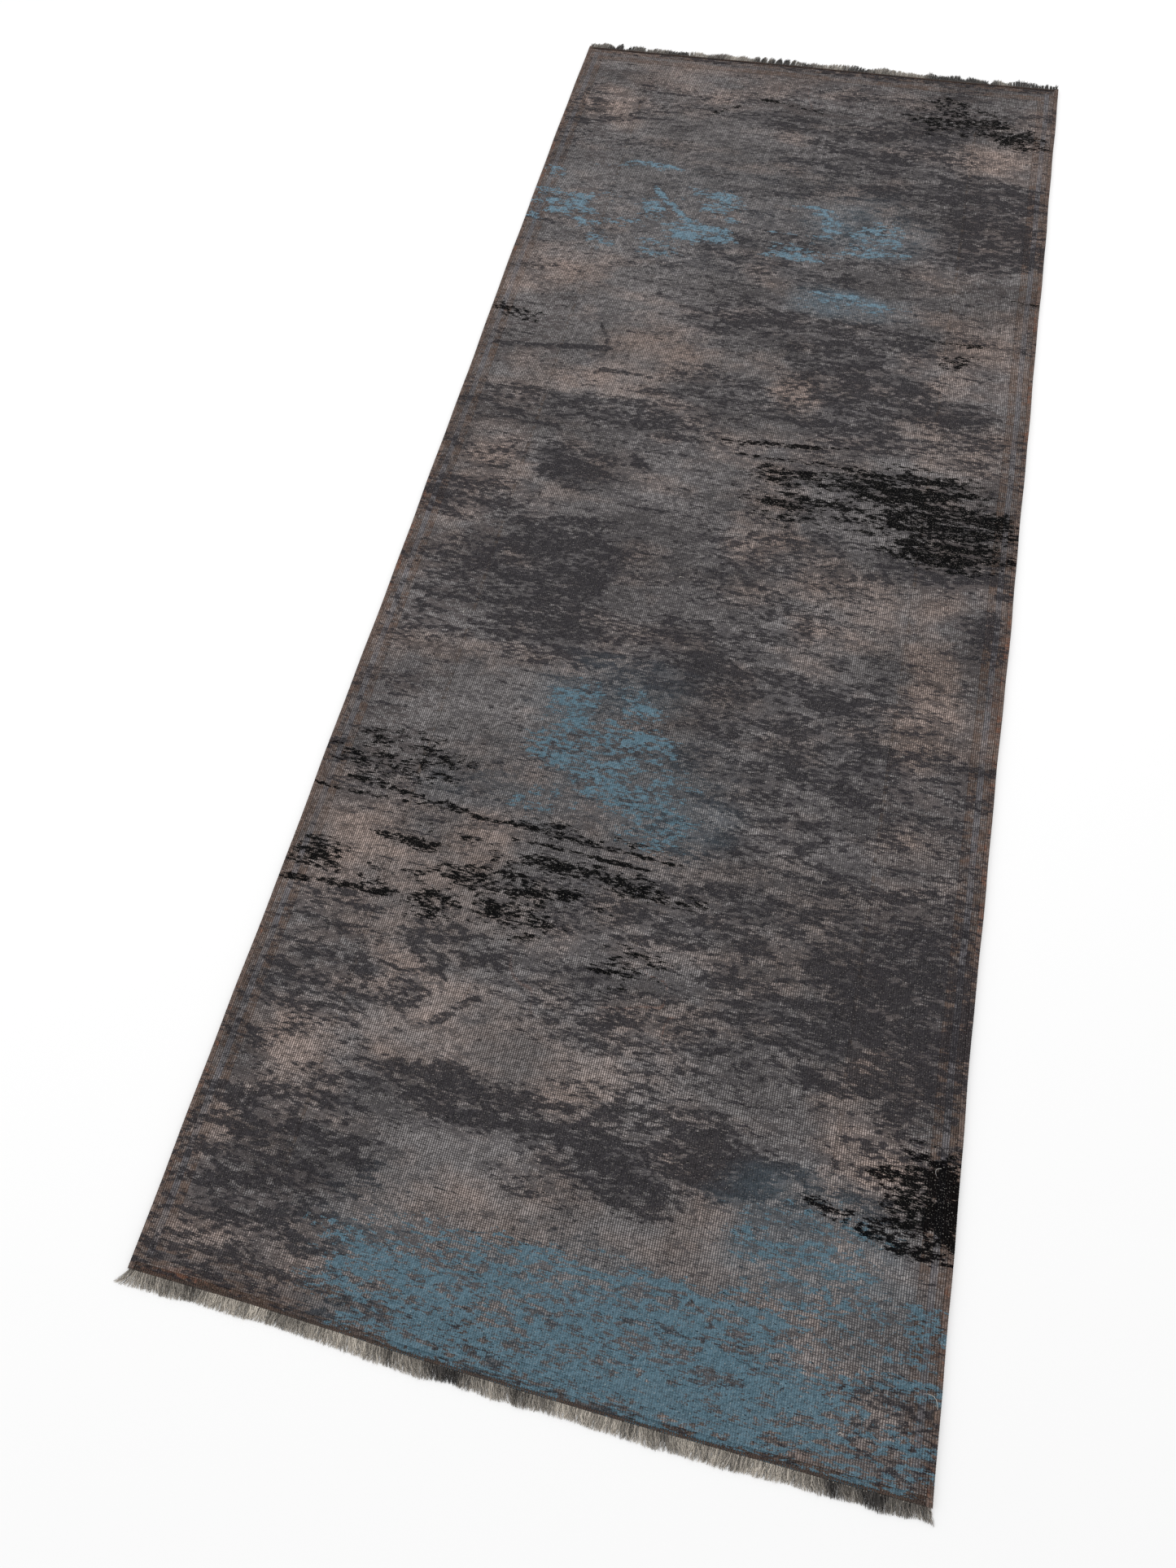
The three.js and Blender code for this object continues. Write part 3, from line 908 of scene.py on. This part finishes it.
class RUG_OT_pile(bpy.types.Operator):
    """Knot the pile of the field and of the bands round it, then shear and over-dye it"""

    bl_idname = "rug.pile"
    bl_label = "Pile"

    def execute(self, context):
        self.weave, dyes = context.scene.rug_weave, context.scene.rug_dyes
        kinds = {
            "field_pile": (dyes.field, False), "border_pile": (dyes.border, False),
            "guard_pile": (dyes.guard, True), "guard_line_pile": (dyes.inner_line, False),
            "pale_pile": (dyes.pale, True), "pale_pile_ends": (dyes.border, True),
        }
        made = {name: pile_finish(name, self.weave, dyes, *kind) for name, kind in kinds.items()}
        field, border, guard, line, pale, pale_end = made.values()

        low, high = self.snug("field_pile")
        part = (high.y - low.y) / FIELD_LENGTHS
        for index in range(FIELD_LENGTHS):
            near, far = low.copy(), high.copy()
            near.y, far.y = high.y - (index + 1) * part, high.y - index * part
            self.knot("field_pile", f"field_pile_knots_{index + 1}", near, far, field, "field_pile")
        # Each band: its finish along the sides, its finish across the ends, and its slot
        bands = {
            "outer_guard": (guard, guard, "guard_pile"), "pale_line": (pale, pale_end, "pale_pile"),
            "inner_guard": (guard, guard, "guard_pile"), "main_border": (border, border, "border_pile"),
            "inner_line": (line, border, "guard_pile"),
        }
        for band, (along, ends, slot) in bands.items():
            for side, material in (("left", along), ("right", along), ("near", ends), ("far", ends)):
                node = f"{band}_{side}"
                self.knot(node, f"{node}_knots", *self.snug(node), material, slot)
        return {"FINISHED"}

    def snug(self, node):
        """A node's box, a little wider and longer, so that neighbouring bands leave no gap."""
        low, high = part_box(node)
        over = Vector((PILE_OVERLAP, PILE_OVERLAP, 0))
        return low - over, high + over

    def knot(self, node, name, low, high, material, slot):
        """One area of pile, with a relief that follows its wear."""
        weave, size = self.weave, high - low
        narrow = min(size.x, size.y) < NARROW_BAND
        face_across = weave.warp_pitch / 4 if narrow and size.y > size.x else weave.warp_pitch
        piece, points, top = slab_grid(low, high, face_across, weave.weft_pitch)
        layers = wear(*to_plan(points))
        dyed = np.max([ease(layers[kind], *DYED_LEVELS) for kind in ("charcoal", "jet", "slate")], axis=0)
        kept = np.maximum(0.75 * ease(layers["pile_left"], *WORN_LEVELS), dyed)
        drop = weave.worn_drop * (1 - kept) + weave.knot_grain * layers["knot"]
        if narrow:
            rib = np.abs(np.cos(math.pi * layers["across"] * MM / weave.warp_pitch))
            drop = 0.6 * drop + weave.rib_relief * (1 - rib)
        points[top, 2] = (high.z - drop)[top]
        attach(piece, layers)
        move_points(piece, lie(points))
        finish_piece(piece, name, material, slot, [node])


KILIM_RELIEF = 0.35 * MM


class RUG_OT_kilim(bpy.types.Operator):
    """Weave the flat kilim band at each end"""

    bl_idname = "rug.kilim"
    bl_label = "Kilim bands"

    def execute(self, context):
        weave, dyes = context.scene.rug_weave, context.scene.rug_dyes
        material = flat_weave_finish("kilim_weave", weave, dyes, dyes.kilim, dyes.guard)
        for end in ("near", "far"):
            node = f"kilim_band_{end}"
            low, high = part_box(node)
            piece, points, top = slab_grid(low, high, weave.warp_pitch / 4, weave.weft_pitch / 4)
            across, down = to_plan(points)
            over_and_under = np.cos(math.pi * across * MM / weave.warp_pitch)
            over_and_under = over_and_under * np.cos(2 * math.pi * down * MM / weave.weft_pitch)
            points[top, 2] += (KILIM_RELIEF * over_and_under)[top]
            weather(piece, points)
            finish_piece(piece, f"kilim_weave_{end}", material, "kilim_yarn", [node])
        return {"FINISHED"}


STITCH_LONG, STITCH_HIGH, STITCH_SUNK = 1.5 * MM, 0.80 * MM, 0.2 * MM  # half length, half height, sink


class RUG_OT_lock_stitch(bpy.types.Operator):
    """Sew the row of locking stitches along each end"""

    bl_idname = "rug.lock_stitch"
    bl_label = "Locking stitches"

    def execute(self, context):
        weave, dyes = context.scene.rug_weave, context.scene.rug_dyes
        material = yarn_finish("lock_stitch_yarn", dyes.stitch, dyes.kilim, 0.6, STITCH_RELIEF)
        rng = np.random.default_rng(SEEDS["stitches"])
        for end in ("near", "far"):
            node = f"lock_stitch_{end}"
            low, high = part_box(node)
            centre = (low + high) / 2
            place = places_along(low, high, weave.stitch_pitch)
            count = len(place)
            place[:, 1] = centre.y + rng.uniform(-0.25, 0.25, count) * MM
            place[:, 2] = centre.z - STITCH_SUNK
            half = np.array([0.47 * weave.stitch_pitch, STITCH_LONG, STITCH_HIGH])
            half = half * rng.uniform(0.85, 1.12, (count, 3))
            points, faces = beads(place, half, rng.uniform(-0.35, 0.15, count))
            piece = from_faces(node, lie(points), faces)
            finish_piece(piece, f"lock_stitches_{end}", material, "lock_stitch_yarn", [node])
        return {"FINISHED"}


RIBS = 3
RINGS_PER_TURN = 3  # of the overcast yarn
CORE_CLEARANCE = 0.3 * MM
TURN_SLANT, PLAIN_END = 0.7 * MM, 2 * MM  # the turns slant, except at the sleeve's ends
SLEEVE_INNER_RINGS = 41
BUNDLE_WARPS, BUNDLE_RINGS = 3, 60


def edge_profile():
    """The sleeve's cross-section as shares of its half width and half height: ribs on top, flat below."""
    top_x = np.linspace(0.86, -0.86, 13)
    top_z = 0.68 + 0.32 * np.abs(np.cos(RIBS * math.pi / 2 * top_x)) ** 0.7 - 0.08 * top_x**4
    ring = [(1.0, 0.05), (0.98, 0.42), *zip(top_x, top_z), (-0.98, 0.42), (-1.0, 0.05)]
    ring += [(-0.94, -0.62), (-0.66, -0.98), (0.0, -1.0), (0.66, -0.98), (0.94, -0.62)]
    return np.array(ring)


class RUG_OT_selvedge(bpy.types.Operator):
    """Bundle the outer warps of each side and overcast them with yarn"""

    bl_idname = "rug.selvedge"
    bl_label = "Selvedges"

    def execute(self, context):
        weave, dyes = context.scene.rug_weave, context.scene.rug_dyes
        wrap = flat_weave_finish("overcast_yarn", weave, dyes, dyes.overcast, dyes.guard)
        core = yarn_finish("core_yarn", dyes.cotton, dyes.warp, 0.6, STITCH_RELIEF)
        for side in ("left", "right"):
            self.overcast(weave, side, wrap)
            self.bundle(side, core)
        return {"FINISHED"}

    def overcast(self, weave, side, material):
        """A flat ribbed sleeve, open at both ends, with a groove for each turn of yarn."""
        node = f"overcast_wrap_{side}"
        low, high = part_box(node)
        inner_low, inner_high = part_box(f"selvedge_core_{side}")
        turns = int((high.y - low.y) / weave.wrap_pitch)
        rings = turns * RINGS_PER_TURN + 1
        centre, half = (low + high) / 2, (high - low) / 2
        inner_half = (inner_high - inner_low) / 2 + Vector((CORE_CLEARANCE, 0, CORE_CLEARANCE))
        profile = edge_profile()
        sides = len(profile)
        rng = np.random.default_rng(SEEDS[side])
        loose = np.repeat(rng.uniform(0.0, 1.0, turns + 1), RINGS_PER_TURN)[:rings]
        along = np.linspace(low.y, high.y, rings)
        groove = 0.5 - 0.5 * np.cos(2 * math.pi * np.arange(rings) / RINGS_PER_TURN)
        pull = weave.wrap_relief * (0.7 * groove + 0.3 * loose)
        clear_of_ends = np.minimum(along - low.y, high.y - along) > PLAIN_END
        outer = np.empty((rings, sides, 3))
        outer[:, :, 0] = centre.x + profile[:, 0] * (half.x - pull[:, None])
        outer[:, :, 1] = along[:, None] + TURN_SLANT * profile[:, 0] * clear_of_ends[:, None]
        outer[:, :, 2] = centre.z + profile[:, 1] * (half.z - pull[:, None])
        angle = np.arctan2(profile[:, 1], profile[:, 0])
        inner = np.empty((SLEEVE_INNER_RINGS, sides, 3))
        inner[:, :, 0] = centre.x + np.cos(angle) * inner_half.x
        inner[:, :, 1] = np.linspace(high.y, low.y, SLEEVE_INNER_RINGS)[:, None]
        inner[:, :, 2] = centre.z + np.sin(angle) * inner_half.z
        points = np.concatenate([outer, inner]).reshape(-1, 3)
        total = rings + SLEEVE_INNER_RINGS
        piece = from_faces(node, points, ring_faces(sides, total, total))
        weather(piece, points)
        face_outwards(piece)
        finish_piece(piece, f"overcast_{side}", material, "overcast_yarn", [node])

    def bundle(self, side, material):
        """Three warps laid side by side in the sleeve."""
        node = f"selvedge_core_{side}"
        low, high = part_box(node)
        middle, half_height = (low.z + high.z) / 2, (high.z - low.z) / 2
        radius = (high.x - low.x) / (2 * BUNDLE_WARPS)
        paths = np.empty((BUNDLE_WARPS, BUNDLE_RINGS, 3))
        paths[:, :, 0] = low.x + (2 * np.arange(BUNDLE_WARPS)[:, None] + 1) * radius
        paths[:, :, 1] = np.linspace(low.y, high.y, BUNDLE_RINGS)
        paths[:, :, 2] = middle
        points, faces, _ = strands(paths, np.full((BUNDLE_WARPS, BUNDLE_RINGS), 0.97 * radius), sides=8)
        points[:, 2] = middle + (points[:, 2] - middle) * 0.95 * half_height / radius
        piece = from_faces(node, lie(points), faces)
        face_outwards(piece)
        finish_piece(piece, f"warp_bundle_{side}", material, "core_warps", [node])


THIN_STRAND = 0.15 * MM
ROOT_KNOT = np.array([0.72, 0.8, 0.75]) * MM  # half its size
FAR_GAPS, NEAR_DARK_TUFT = (65, 101, 690), 355  # places across, where strands are missing or dyed dark


class RUG_OT_fringe(bpy.types.Operator):
    """Cut the warp ends to a short fringe at both ends"""

    bl_idname = "rug.fringe"
    bl_label = "Fringes"

    def execute(self, context):
        weave, dyes = context.scene.rug_weave, context.scene.rug_dyes
        material = strand_finish("fringe_strands", dyes)
        for end, sign in (("near", -1), ("far", 1)):
            self.cut(weave, end, sign, material)
        return {"FINISHED"}

    def cut(self, weave, end, sign, material):
        """One end's strands, thick and thin, and a row of tiny root knots under the stitches."""
        self.low, self.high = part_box(f"fringe_{end}")
        self.end, self.sign, self.seed = end, sign, SEEDS[end]
        self.root = self.high.y if sign < 0 else self.low.y
        self.rng = np.random.default_rng(self.seed)
        batches = [
            self.curly_strands(weave.strand_pitch, weave.strand_radius, 8, 4),
            self.curly_strands(weave.strand_pitch * 1.1, THIN_STRAND, 6, 3),
            self.root_knots(weave.stitch_pitch),
        ]
        points, faces = joined(batch[:2] for batch in batches)
        piece = from_faces(f"fringe_{end}", lie(points), faces)
        layers = [batch[2] for batch in batches]
        attach(piece, {name: np.concatenate([layer[name] for layer in layers]) for name in layers[0]})
        finish_piece(piece, f"fringe_{end}_strands", material, "fringe_yarn", [f"fringe_{end}"])

    def curly_strands(self, pitch, radius, steps, sides):
        """Strands that lean in tufts. Those of the far end are shorter, darker and clumped."""
        low, high, rng, seed, far = self.low, self.high, self.rng, self.seed, self.end == "far"
        count = int((high.x - low.x) / pitch)
        t = np.linspace(0, 1, steps)[None, :]
        x0 = np.linspace(low.x, high.x, count) + rng.uniform(-0.6, 0.6, count) * pitch
        across = (x0 - plan_low.x) / MM

        def gusts(cell, shift, octaves):
            """Noise along the end, in cells of that many millimetres."""
            return cloud(across, np.zeros(count), cell, 10, seed + shift, octaves)

        reach = (high.y - low.y) * (1.02 + 0.05 * gusts(26, 5, 3))
        reach = reach * (1.08 - 0.30 * rng.uniform(0, 1, count) ** 2)
        sweep = 1.6 * gusts(46, 0, 2) + 0.9 * gusts(9, 3, 2)
        dyed = 0.22 + 0.24 * gusts(34, 9, 3)
        if far:
            tuft = 7.5 + 2.0 * gusts(60, 11, 1)
            middle = (np.floor(across / tuft) + 0.5) * tuft
            sweep = 0.55 * sweep + 0.55 * (middle - across)
            reach *= 1 - 0.75 * np.max([ease(4.5 - np.abs(across - gap), 0, 3) for gap in FAR_GAPS], axis=0)
            reach *= 1.08 + 0.12 * cloud(middle, np.zeros(count), 11, 10, seed + 13, 1)
            reach *= 1 - 0.50 * np.abs(middle - across) / tuft
            dyed += 0.62
        else:
            dyed += 0.55 * ease(44 - np.abs(across - NEAR_DARK_TUFT), 0, 20) + 0.25 * ease(across, 540, 660)
            sweep -= 8.5 * ease(16 - across, 0, 16)
            sweep += 3.0 * ease(across - WIDTH + 10, 0, 10)
        phase, turned = rng.uniform(0, 2 * math.pi, (2, count, 1))
        curl = rng.uniform(0.6, 1.7, (count, 1)) * MM * (0.8 if far else 1.0)
        x = x0[:, None] + MM * (sweep[:, None] + rng.normal(0, 1.0, (count, 1))) * t**1.3
        x = x + curl * np.sin(phase + 6.0 * t) * t**0.6
        y = self.root + self.sign * reach[:, None] * t + 0.55 * curl * np.sin(turned + 7.5 * t) * t
        top = rng.uniform(0.15, 1.0, (count, 1)) * (high.z - low.z) * 1.15
        z = low.z + top * (1 - 0.55 * t) + 0.5 * curl * np.cos(phase + 6.0 * t) * t**0.5
        radii = radius * rng.uniform(0.75, 1.15, (count, 1)) * (1 - 0.5 * t**2)
        z = np.maximum(z, low.z + radii)
        points, faces, along = strands(np.stack([x, y, z], 2), radii, sides)
        tone = rng.uniform(0, 1, count)
        layers = {name: np.repeat(each, steps * sides) for name, each in (("tone", tone), ("dyed", dyed))}
        return points, faces, {"along": along, **layers}

    def root_knots(self, pitch):
        """A tiny knot at the root of each few strands."""
        low, high, rng = self.low, self.high, self.rng
        place = places_along(low, high, pitch)
        count = len(place)
        place[:, 1] = self.root + self.sign * 0.9 * MM
        place[:, 2] = low.z + 0.62 * (high.z - low.z)
        half = ROOT_KNOT * rng.uniform(0.85, 1.2, (count, 3))
        points, faces = beads(place, half, rng.uniform(-0.3, 0.3, count), sides=6, rings=4)
        tone = np.repeat(rng.uniform(0.2, 0.8, count), len(points) // count)
        dyed = np.full(len(points), 0.7 if self.end == "far" else 0.1)
        return points, faces, {"along": np.ones(len(points)), "tone": tone, "dyed": dyed}


LOOSE_THREAD = 0.26 * MM


class RUG_OT_loose_threads(bpy.types.Operator):
    """Drop a few short loose threads on the pile"""

    bl_idname = "rug.loose_threads"
    bl_label = "Loose threads"

    def execute(self, context):
        dyes = context.scene.rug_dyes
        material = yarn_finish("loose_cotton", dyes.cotton, dyes.warp, 0.5, THREAD_RELIEF)
        # Across, down, length and turn of each thread
        spots = (
            (132, 266, 15, 0.1), (789, 1905, 17, -0.6), (778, 1706, 9, 1.1), (622, 1434, 8, 0.9),
            (712, 1950, 4, 0.0), (276, 862, 4, 1.3), (632, 1100, 5, 0.8), (438, 1148, 3, 0.3),
            (378, 1068, 3, 1.0), (113, 1177, 5, 1.4), (550, 388, 3, 0.2), (422, 784, 4, 0.4),
            (476, 1532, 3, 0.6), (700, 1924, 4, 1.2), (366, 1300, 3, 0.5), (690, 1262, 4, 0.1),
        )
        rng = np.random.default_rng(SEEDS["threads"])
        steps = 7
        t = np.linspace(-0.5, 0.5, steps)
        paths = []
        for across, down, reach, turn in spots:
            bow = rng.uniform(0.15, 0.4) * reach * (1 - 4 * t**2)
            x = across + math.cos(turn) * reach * t - math.sin(turn) * bow
            y = down - math.sin(turn) * reach * t - math.cos(turn) * bow
            z = np.full(steps, plan_high.z + 0.1 * MM) + MM * rng.uniform(0.1, 0.5) * (1 - 4 * t**2)
            paths.append(np.stack([plan_low.x + x * MM, plan_high.y - y * MM, z], 1))
        points, faces, _ = strands(np.array(paths), np.full((len(spots), steps), LOOSE_THREAD), 5)
        piece = from_faces("loose_threads", lie(points), faces)
        finish_piece(piece, "loose_threads", material, "fringe_yarn", [])
        return {"FINISHED"}


FLOOR_SIZE, FLOOR_GAP = 60, 0.4 * MM
FLOOR_GREY, SKY_STRENGTH = 0.88, 0.92


class RUG_OT_stage(bpy.types.Operator):
    """Set the pale floor, the soft light and the camera"""

    bl_idname = "rug.stage"
    bl_label = "Stage"

    def execute(self, context):
        studio = context.scene.rug_studio
        bpy.ops.object.select_all(action="DESELECT")
        bpy.ops.mesh.primitive_plane_add(size=FLOOR_SIZE, location=(0, 0, -FLOOR_GAP))
        floor = context.active_object
        floor.name = "studio_floor"
        paint = Finish("studio_floor", roughness=0.9)
        paint.shader.inputs["Base Color"].default_value = (*[FLOOR_GREY] * 3, 1)
        floor.data.materials.append(paint.material)

        world = bpy.data.worlds.new("studio")
        context.scene.world = world
        world.use_nodes = True
        sky = world.node_tree.nodes["Background"]
        sky.inputs["Color"].default_value = (1, 1, 1, 1)
        sky.inputs["Strength"].default_value = SKY_STRENGTH
        self.softbox("overhead", place=(0.2, 1.2, 2.6), aim=(0, 0, 0), size=2.4, power=22)
        self.softbox("side", place=(-2.4, -0.6, 1.7), aim=(0, -0.2, 0), size=1.6, power=9)

        sight = bpy.data.cameras.new("camera")
        camera = bpy.data.objects.new("camera", sight)
        context.scene.collection.objects.link(camera)
        sight.lens, sight.sensor_width, sight.sensor_fit = studio.lens, 36, "AUTO"
        sight.clip_start, sight.clip_end = 0.05, 100
        ahead, up = math.cos(studio.elevation), math.sin(studio.elevation)
        back = Vector((math.sin(studio.azimuth) * ahead, -math.cos(studio.azimuth) * ahead, up))
        aim = Vector((studio.aim_across, studio.aim_along, 0))
        facing = (-back).to_track_quat("-Z", "Y").to_matrix().to_4x4()
        facing = facing @ Matrix.Rotation(studio.roll, 4, "Z")
        camera.matrix_world = Matrix.Translation(aim + back * studio.distance) @ facing
        context.scene.camera = camera
        context.scene.view_settings.view_transform = "Standard"
        return {"FINISHED"}

    def softbox(self, name, place, aim, size, power):
        """A square area light that faces a point."""
        lamp = bpy.data.lights.new(name, "AREA")
        lamp.shape, lamp.size, lamp.energy = "SQUARE", size, power
        holder = bpy.data.objects.new(name, lamp)
        bpy.context.scene.collection.objects.link(holder)
        holder.location = place
        holder.rotation_euler = (Vector(aim) - Vector(place)).to_track_quat("-Z", "Y").to_euler()


class RUG_PT_panel(bpy.types.Panel):
    """The rug's build steps, in order"""

    bl_idname = "RUG_PT_panel"
    bl_label = "Runner Rug"
    bl_space_type = "VIEW_3D"
    bl_region_type = "UI"
    bl_category = "Rug"

    def draw(self, context):
        for built in STEPS:
            self.layout.operator(built.bl_idname)


STEPS = (
    RUG_OT_stage,
    RUG_OT_foundation,
    RUG_OT_pile,
    RUG_OT_kilim,
    RUG_OT_lock_stitch,
    RUG_OT_selvedge,
    RUG_OT_fringe,
    RUG_OT_loose_threads,
)
SETTINGS = {"rug_weave": RugWeave, "rug_dyes": RugDyes, "rug_studio": RugStudio}


def register():
    for group in SETTINGS.values():
        bpy.utils.register_class(group)
    for name, group in SETTINGS.items():
        setattr(bpy.types.Scene, name, PointerProperty(type=group))
    for made in (*STEPS, RUG_PT_panel):
        bpy.utils.register_class(made)


def unregister():
    for made in reversed((*STEPS, RUG_PT_panel)):
        bpy.utils.unregister_class(made)
    for name, group in SETTINGS.items():
        delattr(bpy.types.Scene, name)
        bpy.utils.unregister_class(group)


def main():
    register()
    for built in STEPS:
        group, name = built.bl_idname.split(".")
        getattr(getattr(bpy.ops, group), name)()


if __name__ == "__main__":
    main()
